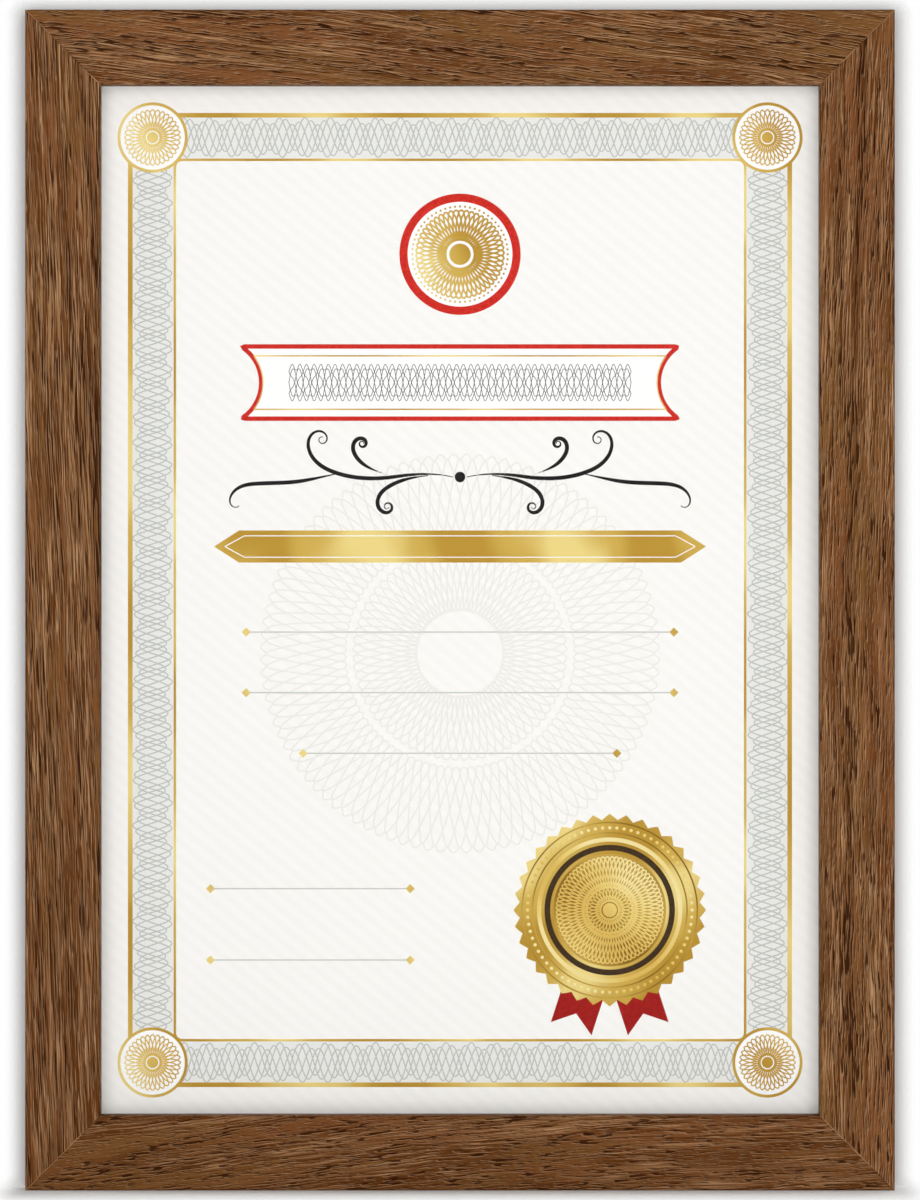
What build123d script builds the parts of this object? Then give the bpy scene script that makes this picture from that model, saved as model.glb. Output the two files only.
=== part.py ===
from build123d import *
from math import cos, radians, sin, tan
import os

# A certificate frame for one sheet, upright as it hangs, with its strut folded flat against the back.
# +X is to the right seen from the front, +Y to the back and +Z up. The origin is the middle of the
# bottom moulding's under face. Lengths are in millimetres and angles in degrees.

# The sheet and what lies with it in the rebate
sheet_width = 210
sheet_height = 297
sheet_thickness = 0.3
rebate_play = 0.5  # between the sheet's edge and the rebate's wall
glass_thickness = 2
glass_seam = 0.2  # bevel ground along the pane's edges
print_room = 0.3  # between the glass and the sheet
board_thickness = 3
board_inset = 0.2  # of the board's back below the mouldings' back

# The moulding's section
wall_width = 16  # from the outer edge to the rebate
lip_reach = 5  # how far the lip stands over the rebate
lip_thickness = 8.2
outer_ease = 0.4
inner_ease = 0.8
back_ease = 0.3

# V-nails, two across each mitre
nail_leg = 4
nail_gauge = 0.4
nail_height = 10
nail_sink = 0.3
outer_nail_setback = 5
inner_nail_setback = 10.5

# Turn buttons and their screws
long_spread = 90  # from the middle of a long moulding to each of its buttons
short_spread = 65
button_width = 9
button_reach = 16.5  # from the screw to the tip
button_heel = 5  # from the screw to the other end
button_gauge = 0.8
button_gap = 0.05  # under the button and over it
tip_length = 4.5
tip_lift = 1
screw_radius = 1.5
screw_depth = 9
screw_point = 2
screw_head_radius = 3
screw_head_height = 1.9
screw_rim = 0.6
recess_length = 3.4
recess_width = 0.9
recess_depth = 1
fastener_play = 0.05  # round every shank in its hole

# Strut and its hinge
strut_thickness = 3
strut_gap = 0.3  # between the board and the folded strut
strut_foot_width = 64
strut_top_width = 48
strut_opening = 30  # where the heels meet the board
lean_angle = 17  # of the frame, standing on its open strut
foot_corner = 6
ear_corner = 1
ear_height = 4  # of the heels above the hinge's axis
ear_play = 0.5
stop_gap = 0.1  # left between the heels and the board at the stop
finger_radius = 9
hinge_height = 200  # of the hinge's axis above the bottom edge
hinge_width = 30
fixed_knuckle_width = 9
hinge_gap = 0.3  # between the knuckles, and round them
pin_radius = 1.2
pin_play = 0.05
pin_end_play = 0.1
pin_head_radius = 1.9
pin_head_thickness = 0.6
leaf_gauge = 0.8
leaf_length = 20  # from the axis
leaf_corner = 4

# Rivets through each leaf
rivet_spacing = 17
rivet_setback = 12  # from the hinge's axis
rivet_radius = 1.5
rivet_head_radius = 2.8
rivet_head_height = 1
clench_radius = 2.5
clench_height = 0.7

# Sawtooth hangers and their nails
hanger_length = 45
hanger_width = 8
hanger_gauge = 0.8
hanger_rise = 1.4  # of the toothed middle off the wood
hanger_corner = 2
raised_length = 30
joggle_length = 2.5
tooth_count = 10
tooth_pitch = 2.6
tooth_width = 2.2
tooth_depth = 1.6
hanger_nail_spacing = 39
hanger_nail_radius = 0.7
hanger_nail_length = 8
hanger_nail_head_radius = 1.6
hanger_nail_head_height = 0.6

overrun = 5  # of a cut past the face that it opens

# Depths of the layers, from the front to the back
rail_depth = (
    lip_thickness + glass_thickness + print_room + sheet_thickness + board_thickness + board_inset
)
front = -rail_depth / 2
back = front + rail_depth
lip_back = front + lip_thickness
sheet_front = lip_back + glass_thickness + print_room
board_front = sheet_front + sheet_thickness
board_back = board_front + board_thickness
strut_front = board_back + strut_gap
strut_back = strut_front + strut_thickness

# Outer sizes
face_width = wall_width + lip_reach
frame_width = sheet_width + 2 * (rebate_play + wall_width)
frame_height = sheet_height + 2 * (rebate_play + wall_width)
middle_height = frame_height / 2

# The hinge's axis and what turns about it
bore_radius = pin_radius + pin_play
knuckle_radius = bore_radius + leaf_gauge
knuckle_room = knuckle_radius + hinge_gap
axis_depth = board_back + knuckle_room
pin_reach = hinge_width / 2 + pin_end_play
notch_reach = pin_reach + pin_head_thickness + ear_play

# The strut's foot meets the table when it is open and the frame leans back
slope = tan(radians(lean_angle))
opening_cos = cos(radians(strut_opening))
opening_sin = sin(radians(strut_opening))
front_offset = axis_depth - strut_front
foot_drop = (
    hinge_height
    - front_offset * opening_sin
    - (axis_depth - back - front_offset * opening_cos) * slope
)
strut_length = foot_drop / (opening_cos + opening_sin * slope)

to_right = Vector(1, 0, 0)
to_back = Vector(0, 1, 0)
upward = Vector(0, 0, 1)

# Each moulding: the corner where its run starts, the way it runs, the way in to the sheet, its length
right_side = to_right * (frame_width / 2)
frame_top = upward * frame_height
rails = {
    "bottom": (right_side, -to_right, upward, frame_width),
    "left": (-right_side, upward, to_right, frame_height),
    "top": (frame_top - right_side, to_right, -upward, frame_width),
    "right": (frame_top + right_side, -upward, -to_right, frame_height),
}

# Each turn button: its moulding, and how far along the run it is from the moulding's middle
button_places = {
    "turn_button_left_lower": ("left", -long_spread),
    "turn_button_left_upper": ("left", long_spread),
    "turn_button_top_left": ("top", -short_spread),
    "turn_button_top_right": ("top", short_spread),
    "turn_button_right_upper": ("right", -long_spread),
    "turn_button_right_lower": ("right", long_spread),
    "turn_button_bottom_right": ("bottom", -short_spread),
    "turn_button_bottom_left": ("bottom", short_spread),
}

# Each hanger: the moulding that is on top when the frame hangs from it
hanger_places = {"portrait_hanger": "top", "landscape_hanger": "left"}


def on_back(rail, along):
    # A plane on a moulding's back, halfway across it: x points in to the sheet and z out of the back
    corner, run, inward, length = rails[rail]
    origin = corner + run * (length / 2 + along) + inward * (wall_width / 2) + to_back * back
    return Plane(origin=origin, x_dir=inward, z_dir=to_back)


def in_corner(rail, depth):
    # A plane under the back at the corner where a moulding's run starts: z points into the wood
    corner, run, inward, length = rails[rail]
    return Plane(origin=corner + to_back * (back - depth), x_dir=inward, z_dir=-to_back)


def facing_back(depth, height):
    # A plane in the middle of the frame with y up and z to the back
    return Plane(origin=(0, depth, height), x_dir=-to_right, z_dir=to_back)


def facing_front(depth, height):
    # A plane in the middle of the frame with y up and z to the front
    return Plane(origin=(0, depth, height), x_dir=to_right, z_dir=-to_back)


button_planes = {name: on_back(*place) for name, place in button_places.items()}
nail_planes = [
    on_back(rail, side * hanger_nail_spacing / 2)
    for rail in hanger_places.values()
    for side in (-1, 1)
]
rivet_offsets = [side * rivet_spacing / 2 for side in (-1, 1)]

os.makedirs("parts", exist_ok=True)

# V-nails: strips folded square, one leg in each of the two mouldings
with BuildSketch() as v_nail_outline:
    for setback in (outer_nail_setback, inner_nail_setback):
        with Locations((setback, setback)):
            Rectangle(nail_leg, nail_gauge, align=Align.MIN)
            Rectangle(nail_gauge, nail_leg, align=Align.MIN)

with BuildPart() as corner_v_nails:
    for rail in rails:
        with BuildSketch(in_corner(rail, nail_sink)):
            add(v_nail_outline.sketch)
        extrude(amount=nail_height)
corner_v_nails.part.label = "corner_v_nails"
export_step(corner_v_nails.part, "parts/corner_v_nails.step")

# The mouldings: a lip over a rebate, mitred at both ends, with holes for what is driven into the back
for rail, (corner, run, inward, length) in rails.items():
    with BuildPart() as moulding:
        with BuildSketch(Plane(origin=corner, x_dir=inward, z_dir=run)) as section:
            with BuildLine():
                Polyline(
                    (0, front),
                    (face_width, front),
                    (face_width, lip_back),
                    (wall_width, lip_back),
                    (wall_width, back),
                    (0, back),
                    close=True,
                )
            make_face()
            outer_front, inner_front = section.vertices().group_by(Axis.Y)[0].sort_by(Axis.X)
            outer_back, rebate_back = section.vertices().group_by(Axis.Y)[-1].sort_by(Axis.X)
            fillet(outer_front, outer_ease)
            fillet(inner_front, inner_ease)
            fillet(outer_back, back_ease)
            fillet(rebate_back, back_ease)
        extrude(amount=length)
        split(bisect_by=Plane(origin=corner, z_dir=run - inward))
        split(bisect_by=Plane(origin=corner + run * length, z_dir=-run - inward))
        for nailed in rails:
            with BuildSketch(in_corner(nailed, 0)):
                add(v_nail_outline.sketch)
            extrude(amount=nail_sink + nail_height, mode=Mode.SUBTRACT)
        screws = [plane for name, plane in button_planes.items() if button_places[name][0] == rail]
        with Locations(*screws):
            Hole(screw_radius + fastener_play, screw_depth + fastener_play)
        if rail in hanger_places.values():
            with Locations(*nail_planes):
                Hole(hanger_nail_radius + fastener_play, hanger_nail_length + fastener_play)
    moulding.part.label = f"rail_{rail}"
    export_step(moulding.part, f"parts/rail_{rail}.step")

# The pane
with BuildPart() as glass_pane:
    with BuildSketch(facing_back(lip_back, middle_height)):
        Rectangle(sheet_width, sheet_height)
    extrude(amount=glass_thickness)
    chamfer(glass_pane.edges(), glass_seam)
glass_pane.part.label = "glass_pane"
export_step(glass_pane.part, "parts/glass_pane.step")

# The certificate
with BuildPart() as certificate_sheet:
    with BuildSketch(facing_back(sheet_front, middle_height)):
        Rectangle(sheet_width, sheet_height)
    extrude(amount=sheet_thickness)
certificate_sheet.part.label = "certificate_sheet"
export_step(certificate_sheet.part, "parts/certificate_sheet.step")

# The back board, bored for the rivets of the hinge's upper leaf
with BuildPart() as back_board:
    with BuildSketch(facing_back(board_front, middle_height)):
        Rectangle(sheet_width, sheet_height)
    extrude(amount=board_thickness)
    with Locations(facing_front(board_front, hinge_height + rivet_setback)):
        with Locations(*[(offset, 0) for offset in rivet_offsets]):
            CounterBoreHole(rivet_radius + fastener_play, clench_radius + fastener_play, clench_height)
back_board.part.label = "back_board"
export_step(back_board.part, "parts/back_board.step")

# One turn button about the z axis, its tip towards +x, with z from the moulding's back
with BuildPart() as button_pattern:
    with BuildSketch(Plane.XZ):
        with BuildLine():
            Polyline(
                (-button_heel, button_gap),
                (button_reach - tip_length, button_gap),
                (button_reach, button_gap + tip_lift),
                (button_reach, button_gap + tip_lift + button_gauge),
                (button_reach - tip_length, button_gap + button_gauge),
                (-button_heel, button_gap + button_gauge),
                close=True,
            )
        make_face()
    extrude(amount=button_width / 2, both=True)
    with BuildSketch():
        with Locations(((button_reach - button_heel) / 2, 0)):
            SlotOverall(button_reach + button_heel, button_width)
    extrude(amount=button_gap + tip_lift + button_gauge + overrun, mode=Mode.INTERSECT)
    with BuildSketch():
        Circle(screw_radius + pin_play)
    extrude(amount=button_gap + button_gauge + overrun, mode=Mode.SUBTRACT)

for name, plane in button_planes.items():
    with BuildPart() as turn_button:
        with Locations(plane):
            add(button_pattern.part)
    turn_button.part.label = name
    export_step(turn_button.part, f"parts/{name}.step")

# One pan-headed screw about the z axis, with z from the moulding's back
head_floor = button_gap + button_gauge + button_gap
head_top = head_floor + screw_head_height
with BuildPart() as screw_pattern:
    with BuildSketch(Plane.XZ):
        with BuildLine():
            Polyline(
                (0, head_top),
                (0, -screw_depth),
                (screw_radius, screw_point - screw_depth),
                (screw_radius, head_floor),
                (screw_head_radius, head_floor),
                (screw_head_radius, head_floor + screw_rim),
            )
            TangentArc((0, head_top), (screw_head_radius, head_floor + screw_rim), tangent=(1, 0))
        make_face()
    revolve(axis=Axis.Z)
    with BuildSketch(Plane.XY.offset(head_top)):
        Rectangle(recess_length, recess_width)
        Rectangle(recess_width, recess_length)
    extrude(amount=-recess_depth, mode=Mode.SUBTRACT)

with BuildPart() as turn_button_screws:
    with Locations(*button_planes.values()):
        add(screw_pattern.part)
turn_button_screws.part.label = "turn_button_screws"
export_step(turn_button_screws.part, "parts/turn_button_screws.step")

# The strut: a tapered leg with a notch for the hinge, a heel at each side of it and a finger notch
with BuildPart() as easel_strut:
    with BuildSketch(facing_back(strut_front, hinge_height)) as leg:
        with BuildLine():
            Polyline(
                (-strut_top_width / 2, ear_height),
                (strut_top_width / 2, ear_height),
                (strut_foot_width / 2, -strut_length),
                (-strut_foot_width / 2, -strut_length),
                close=True,
            )
        make_face()
        fillet(leg.vertices().group_by(Axis.Y)[0], foot_corner)
        fillet(leg.vertices().group_by(Axis.Y)[-1], ear_corner)
        with Locations((0, -knuckle_room)):
            Rectangle(
                2 * notch_reach,
                knuckle_room + ear_height,
                align=(Align.CENTER, Align.MIN),
                mode=Mode.SUBTRACT,
            )
        with Locations((0, -strut_length)):
            Circle(finger_radius, mode=Mode.SUBTRACT)
    extrude(amount=strut_thickness)
    # The heels' fronts are bevelled to lie against the board when the strut is open
    stop_distance = axis_depth - board_back - stop_gap
    bevel_start = (stop_distance - front_offset * opening_cos) / opening_sin
    bevel_end = ear_height + overrun
    bevel_depth = (bevel_end * opening_sin - stop_distance) / opening_cos
    with BuildSketch(Plane.YZ):
        with Locations((axis_depth, hinge_height)):
            Polygon(
                (-front_offset, bevel_start),
                (bevel_depth, bevel_end),
                (-front_offset - overrun, bevel_end),
                (-front_offset - overrun, bevel_start),
                align=None,
            )
    extrude(amount=strut_top_width, both=True, mode=Mode.SUBTRACT)
    with Locations(facing_front(strut_front, hinge_height - rivet_setback)):
        with Locations(*[(offset, 0) for offset in rivet_offsets]):
            CounterBoreHole(rivet_radius + fastener_play, clench_radius + fastener_play, clench_height)
easel_strut.part.label = "easel_strut"
export_step(easel_strut.part, "parts/easel_strut.step")


def knuckle_starts(fixed):
    # Where along x the knuckles of the fixed or of the turning leaf start, and how wide each one is
    if fixed:
        return [-hinge_width / 2, hinge_width / 2 - fixed_knuckle_width], fixed_knuckle_width
    turning_width = hinge_width - 2 * (fixed_knuckle_width + hinge_gap)
    return [-turning_width / 2], turning_width


# The hinge's leaves: each has a riveted plate and knuckles on tongues that rise from it to the axis
for name, fixed, face, upright in (
    ("hinge_board_leaf", True, board_back, 1),
    ("hinge_strut_leaf", False, strut_back, -1),
):
    starts, width = knuckle_starts(fixed)
    with BuildPart() as leaf:
        with BuildSketch(facing_back(face, hinge_height)) as plate:
            with Locations((0, upright * (knuckle_room + leaf_length) / 2)):
                Rectangle(hinge_width, leaf_length - knuckle_room)
            ends = plate.vertices().group_by(Axis.Y)[-1 if fixed else 0]
            fillet(ends, leaf_corner)
            with Locations(*[(offset, upright * rivet_setback) for offset in rivet_offsets]):
                Circle(rivet_radius + fastener_play, mode=Mode.SUBTRACT)
        extrude(amount=leaf_gauge)
        for start in starts:
            with BuildSketch(Plane.YZ.offset(start)):
                with Locations((axis_depth, hinge_height)):
                    Circle(knuckle_radius)
                    Polygon(
                        (face - axis_depth, upright * knuckle_room),
                        (face - axis_depth + leaf_gauge, upright * knuckle_room),
                        (-upright * (bore_radius if fixed else knuckle_radius), 0),
                        (-upright * (knuckle_radius if fixed else bore_radius), 0),
                        align=None,
                    )
                    Circle(bore_radius, mode=Mode.SUBTRACT)
            extrude(amount=width)
    leaf.part.label = name
    export_step(leaf.part, f"parts/{name}.step")

# The hinge's pin, peened over at both ends
with BuildPart() as hinge_pin:
    with BuildSketch(Plane.YZ):
        with Locations((axis_depth, hinge_height)):
            Circle(pin_radius)
    extrude(amount=pin_reach + pin_head_thickness, both=True)
    for start in (-pin_reach - pin_head_thickness, pin_reach):
        with BuildSketch(Plane.YZ.offset(start)):
            with Locations((axis_depth, hinge_height)):
                Circle(pin_head_radius)
        extrude(amount=pin_head_thickness)
hinge_pin.part.label = "hinge_pin"
export_step(hinge_pin.part, "parts/hinge_pin.step")

# Rivets: a clench sunk in the wood's front, a shank and a domed head on the leaf
for name, start, grip, height in (
    ("board_leaf_rivets", board_front, board_thickness + leaf_gauge, hinge_height + rivet_setback),
    ("strut_leaf_rivets", strut_front, strut_thickness + leaf_gauge, hinge_height - rivet_setback),
):
    with BuildPart() as rivet_pattern:
        with BuildSketch(Plane.XZ):
            with BuildLine():
                Polyline(
                    (0, grip + rivet_head_height),
                    (0, 0),
                    (clench_radius, 0),
                    (clench_radius, clench_height),
                    (rivet_radius, clench_height),
                    (rivet_radius, grip),
                    (rivet_head_radius, grip),
                )
                TangentArc((0, grip + rivet_head_height), (rivet_head_radius, grip), tangent=(1, 0))
            make_face()
        revolve(axis=Axis.Z)
    with BuildPart() as rivets:
        with Locations(facing_back(start, height)):
            with Locations(*[(offset, 0) for offset in rivet_offsets]):
                add(rivet_pattern.part)
    rivets.part.label = name
    export_step(rivets.part, f"parts/{name}.step")

# One sawtooth hanger, long in y, its teeth towards +x, with z from the moulding's back
with BuildPart() as hanger_pattern:
    flat_end = raised_length / 2 + joggle_length
    lower = [
        (-hanger_length / 2, 0),
        (-flat_end, 0),
        (-raised_length / 2, hanger_rise),
        (raised_length / 2, hanger_rise),
        (flat_end, 0),
        (hanger_length / 2, 0),
    ]
    with BuildSketch(Plane.YZ):
        with BuildLine():
            Polyline(*lower, *[(y, z + hanger_gauge) for y, z in reversed(lower)], close=True)
        make_face()
    extrude(amount=hanger_width / 2, both=True)
    ends = hanger_pattern.edges().filter_by(Axis.Z)
    fillet(ends, hanger_corner)
    with BuildSketch():
        with Locations((hanger_width / 2, 0)):
            with GridLocations(tooth_pitch, tooth_pitch, 1, tooth_count):
                Polygon(
                    (overrun, -tooth_width / 2),
                    (0, -tooth_width / 2),
                    (-tooth_depth, 0),
                    (0, tooth_width / 2),
                    (overrun, tooth_width / 2),
                    align=None,
                )
        with GridLocations(hanger_nail_spacing, hanger_nail_spacing, 1, 2):
            Circle(hanger_nail_radius + fastener_play)
    extrude(amount=hanger_rise + hanger_gauge + overrun, mode=Mode.SUBTRACT)

for name, rail in hanger_places.items():
    with BuildPart() as hanger:
        with Locations(on_back(rail, 0)):
            add(hanger_pattern.part)
    hanger.part.label = name
    export_step(hanger.part, f"parts/{name}.step")

# One of the hangers' nails about the z axis, with z from the moulding's back
with BuildPart() as nail_pattern:
    with BuildSketch():
        Circle(hanger_nail_radius)
    extrude(amount=hanger_gauge)
    extrude(nail_pattern.faces().sort_by(Axis.Z)[0], amount=hanger_nail_length)
    with BuildSketch(Plane.XY.offset(hanger_gauge)):
        Circle(hanger_nail_head_radius)
    extrude(amount=hanger_nail_head_height)

with BuildPart() as hanger_nails:
    with Locations(*nail_planes):
        add(nail_pattern.part)
hanger_nails.part.label = "hanger_nails"
export_step(hanger_nails.part, "parts/hanger_nails.step")
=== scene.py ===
import math
import bpy
from mathutils import Matrix, Vector


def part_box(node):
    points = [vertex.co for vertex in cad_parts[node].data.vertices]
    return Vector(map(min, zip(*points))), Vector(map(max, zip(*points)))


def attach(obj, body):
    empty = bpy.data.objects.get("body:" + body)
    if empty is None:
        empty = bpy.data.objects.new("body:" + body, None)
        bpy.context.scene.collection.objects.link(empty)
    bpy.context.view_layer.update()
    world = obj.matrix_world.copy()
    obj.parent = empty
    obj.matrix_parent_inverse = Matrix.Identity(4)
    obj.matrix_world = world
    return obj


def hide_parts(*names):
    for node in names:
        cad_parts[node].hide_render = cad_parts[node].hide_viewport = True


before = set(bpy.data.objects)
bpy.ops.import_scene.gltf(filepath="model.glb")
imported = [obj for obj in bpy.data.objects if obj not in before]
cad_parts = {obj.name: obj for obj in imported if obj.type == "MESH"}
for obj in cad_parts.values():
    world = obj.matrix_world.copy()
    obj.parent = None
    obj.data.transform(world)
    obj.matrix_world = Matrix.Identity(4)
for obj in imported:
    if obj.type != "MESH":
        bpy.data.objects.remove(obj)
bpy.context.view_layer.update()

scene = bpy.context.scene
mm = 0.001
quarterTurn = math.pi / 2
wide, high = 243.0 * mm, 330.0 * mm
half = wide / 2
centre = (0.0, 0.0, 0.165)
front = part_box("rail_top")[0][1]
print("certificate frame: CAD frame loaded,", len(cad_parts), "nodes")


# colours are given as a paint chart gives them, 0 to 255
def tint(red, green, blue):
    def linear(level):
        share = level / 255
        return share / 12.92 if share <= 0.04045 else ((share + 0.055) / 1.055) ** 2.4
    return (linear(red), linear(green), linear(blue), 1.0)


# every node below goes into the tree that is being worked on
def workOn(nodes):
    global tree
    tree = nodes


# a socket is linked, anything else is set on the socket itself
def feed(socket, value):
    if isinstance(value, bpy.types.NodeSocket):
        tree.links.new(value, socket)
    else:
        socket.default_value = value


def addObject(name, data):
    thing = bpy.data.objects.new(name, data)
    scene.collection.objects.link(thing)
    return thing


def addNode(kind, inputs, settings):
    node = tree.nodes.new(kind)
    for name, value in settings.items():
        setattr(node, name, value)
    for name, value in (inputs or {}).items():
        feed(node.inputs[name], value)
    return node.outputs


def shaderNode(kind, inputs=None, **settings):
    return addNode("ShaderNode" + kind, inputs, settings)


def geoNode(kind, inputs=None, **settings):
    return addNode("GeometryNode" + kind, inputs, settings)


# each of these adds a node that works out one sum
def sumOf(operation):
    def work(*values):
        return shaderNode("Math", dict(enumerate(values)), operation=operation)[0]
    return work


plus, minus, times, over = sumOf("ADD"), sumOf("SUBTRACT"), sumOf("MULTIPLY"), sumOf("DIVIDE")
timesPlus, larger, smaller = sumOf("MULTIPLY_ADD"), sumOf("MAXIMUM"), sumOf("MINIMUM")
below, above, sizeOf = sumOf("LESS_THAN"), sumOf("GREATER_THAN"), sumOf("ABSOLUTE")
sine, cosine, toAndFro = sumOf("SINE"), sumOf("COSINE"), sumOf("PINGPONG")


def spread(value, fromLow, fromHigh, toLow=0.0, toHigh=1.0):
    inputs = {0: value, 1: fromLow, 2: fromHigh, 3: toLow, 4: toHigh}
    return shaderNode("MapRange", inputs, interpolation_type="SMOOTHSTEP")[0]


def joinXYZ(x, y, z):
    return shaderNode("CombineXYZ", {0: x, 1: y, 2: z})[0]


def splitXYZ(vector):
    return shaderNode("SeparateXYZ", {0: vector})


def vectorCalc(operation, first, second=(0.0, 0.0, 0.0)):
    return shaderNode("VectorMath", {0: first, 1: second}, operation=operation)[0]


def scaled(vector, amount):
    return shaderNode("VectorMath", {0: vector, "Scale": amount}, operation="SCALE")[0]


def cloud(where, scale=1.0, detail=1.0, roughness=0.5):
    inputs = {"Vector": where, "Scale": scale, "Detail": detail, "Roughness": roughness}
    return shaderNode("TexNoise", inputs)[0]


def mixTint(share, first, second):
    return shaderNode("Mix", {0: share, 6: first, 7: second}, data_type="RGBA")[2]


# a colour goes over another as a pattern passes from start to full
def layOver(under, colour, pattern, start, full, most=1.0, least=0.0):
    return mixTint(spread(pattern, start, full, least, most), under, colour)


def readPart(name):
    return shaderNode("Attribute", attribute_name=name)["Vector"]


# the place on the piece in millimetres, or stretched as a pattern needs
def placeIn(stretch=(1000.0, 1000.0, 1000.0), turn=(0.0, 0.0, 0.0)):
    where = shaderNode("TexCoord")["Object"]
    return shaderNode("Mapping", {"Vector": where, "Rotation": turn, "Scale": stretch})[0]


# values that are the same all over the piece are set on the shader itself
def newMaterial(name, values=None):
    material = bpy.data.materials.new(name)
    material.use_nodes = True
    workOn(material.node_tree)
    for label, value in (values or {}).items():
        tree.nodes["Principled BSDF"].inputs[label].default_value = value
    return material


# the finish: colour, roughness and fine relief, whose depth is in millimetres
def coat(material, colour, roughness, relief, deep, strength):
    bump = shaderNode("Bump", {"Strength": strength, "Distance": deep * mm, "Height": relief})[0]
    for label, value in (("Base Color", colour), ("Roughness", roughness), ("Normal", bump)):
        feed(tree.nodes["Principled BSDF"].inputs[label], value)
    return material


def mixSurface(share, first, second):
    return shaderNode("MixShader", {0: share, 1: first, 2: second})[0]


def showSurface(surface):
    feed(tree.nodes["Material Output"].inputs["Surface"], surface)


# stained oak

oak = {
    # the pale fleck tint lightens random fibres and is also a painted highlight beside the pores
    "stainDeep": tint(84, 45, 12), "stainRed": tint(122, 75, 41), "stainOlive": tint(115, 77, 38),
    "stainPale": tint(152, 111, 74), "poreTint": tint(42, 16, 1), "fleckAndHighlightTint": tint(184, 144, 106),
    "mitreTint": tint(172, 130, 90), "specular": 0.08, "roughness": (0.5, 0.8),
    "poreStart": 0.62, "poreSoft": 0.08, "poreShare": 0.065, "poreDark": 0.88,
    "tickStart": 0.585, "tickSoft": 0.08, "tickShare": 0.7, "tickFineness": (1.9, 1.9, 1.6),
    # the shift and share of a paler edge beside each pore, on one side only: a painted highlight of the
    # pore's lit wall
    "highlightShift": (0.42, 0.0, 0.08), "highlightShare": 0.65,
    # noise turns for each millimetre across, deep and along the board, and the detail
    "patterns": {"fibre": ((3.1, 3.1, 0.065), 1.0), "vessel": ((2.0, 2.0, 0.035), 1.0),
                 "streak": ((0.6, 0.6, 0.011), 2.0), "patch": ((0.16, 0.16, 0.022), 1.0),
                 "hue": ((0.11, 0.11, 0.012), 1.0), "busy": ((0.19, 0.19, 0.019), 1.0)},
    # where in its pattern a stain starts, where it is full, and its share there
    "hue": (0.36, 0.64), "patch": (0.6, 0.34, 0.75), "busy": (0.4, 0.6, 0.1, 1.0),
    "layers": (("streak", "stainPale", 0.45, 0.68, 0.6), ("streak", "stainDeep", 0.48, 0.3, 0.7),
               ("vessel", "stainDeep", 0.46, 0.38, 0.9), ("vessel", "stainPale", 0.57, 0.65, 0.8),
               ("fibre", "stainDeep", 0.44, 0.37, 0.9), ("fibre", "fleckAndHighlightTint", 0.59, 0.67, 0.85)),
    # the same along the arris and the mitre, by millimetres from them
    "arris": (0.5, 0.05, 0.5), "mitre": (0.5, 0.1, 0.45), "paleMitre": (0.3, 0.12),
    "paleMitrePatch": (0.42, 0.6, 0.0, 0.75),
    "fibreRelief": 0.5, "relief": (0.08, 0.8),
}


# the same pores cut the moulding's face and darken its stain
def oakPores(grain, porous):
    start = timesPlus(porous, -oak["poreShare"], oak["poreStart"])
    coarse = spread(cloud(grain), start, plus(start, oak["poreSoft"]))
    fine = cloud(vectorCalc("MULTIPLY", grain, oak["tickFineness"]))
    ticks = spread(fine, oak["tickStart"], oak["tickStart"] + oak["tickSoft"])
    return larger(coarse, times(ticks, oak["tickShare"]))


def makeOak():
    material = newMaterial("stainedOak", {"Specular IOR Level": oak["specular"]})
    grain, board = readPart("grain"), readPart("board")
    porous, shade, contrast = splitXYZ(readPart("figure"))
    place = splitXYZ(readPart("place"))
    across, joint = place[0], place[2]
    pores = oakPores(grain, porous)
    beside = oakPores(vectorCalc("ADD", grain, oak["highlightShift"]), porous)
    patterns = {name: cloud(vectorCalc("MULTIPLY", board, size), 1.0, detail)
                for name, (size, detail) in oak["patterns"].items()}
    busy = times(spread(patterns["busy"], *oak["busy"]), contrast)
    stain = layOver(oak["stainRed"], oak["stainOlive"], patterns["hue"], *oak["hue"])
    stain = layOver(stain, oak["stainDeep"], patterns["patch"], *oak["patch"])
    for name, colour, start, full, most in oak["layers"]:
        share = times(spread(patterns[name], start, full, 0.0, most), busy)
        stain = mixTint(share, stain, oak[colour])
    # a paler edge beside each pore, on one side only, is a painted highlight; the same pale tint also marks
    # random pale fibres
    fleck = times(minus(1.0, pores), beside)
    stain = mixTint(times(fleck, oak["highlightShare"]), stain, oak["fleckAndHighlightTint"])
    stain = mixTint(shade, stain, oak["stainDeep"])
    stain = mixTint(times(pores, oak["poreDark"]), stain, oak["poreTint"])
    # the stain is darker along the outer arris and the mitre, and paler in patches in the mitre itself
    stain = layOver(stain, oak["poreTint"], across, *oak["arris"])
    stain = layOver(stain, oak["poreTint"], joint, *oak["mitre"])
    paleInMitre = times(spread(joint, *oak["paleMitre"]), spread(patterns["patch"], *oak["paleMitrePatch"]))
    stain = mixTint(paleInMitre, stain, oak["mitreTint"])
    roughness = spread(pores, 0.0, 1.0, *oak["roughness"])
    relief = timesPlus(pores, -1.0, times(patterns["fibre"], oak["fibreRelief"]))
    return coat(material, stain, roughness, relief, *oak["relief"])


stainedOak = makeOak()


# Geometry Nodes trees are built here: whole numbers and sizes are their named inputs
def newTree(name, counts, sizes):
    workOn(bpy.data.node_groups.new(name, "GeometryNodeTree"))

    def addSocket(label, kind, side="INPUT"):
        tree.interface.new_socket(name=label, in_out=side, socket_type="NodeSocket" + kind)

    addSocket("Geometry", "Geometry")
    for label in counts:
        addSocket(label, "Int")
    for label in sizes:
        addSocket(label, "Float")
    addSocket("Material", "Material")
    addSocket("Geometry", "Geometry", "OUTPUT")
    return tree.nodes.new("NodeGroupInput").outputs


def endTree(geometry, material, smooth=True):
    real = geoNode("RealizeInstances", {0: geometry})[0]
    shade = geoNode("SetShadeSmooth", {0: real, 2: smooth})[0]
    done = geoNode("SetMaterial", {0: shade, 2: material})[0]
    feed(tree.nodes.new("NodeGroupOutput").inputs[0], done)
    return tree


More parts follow.
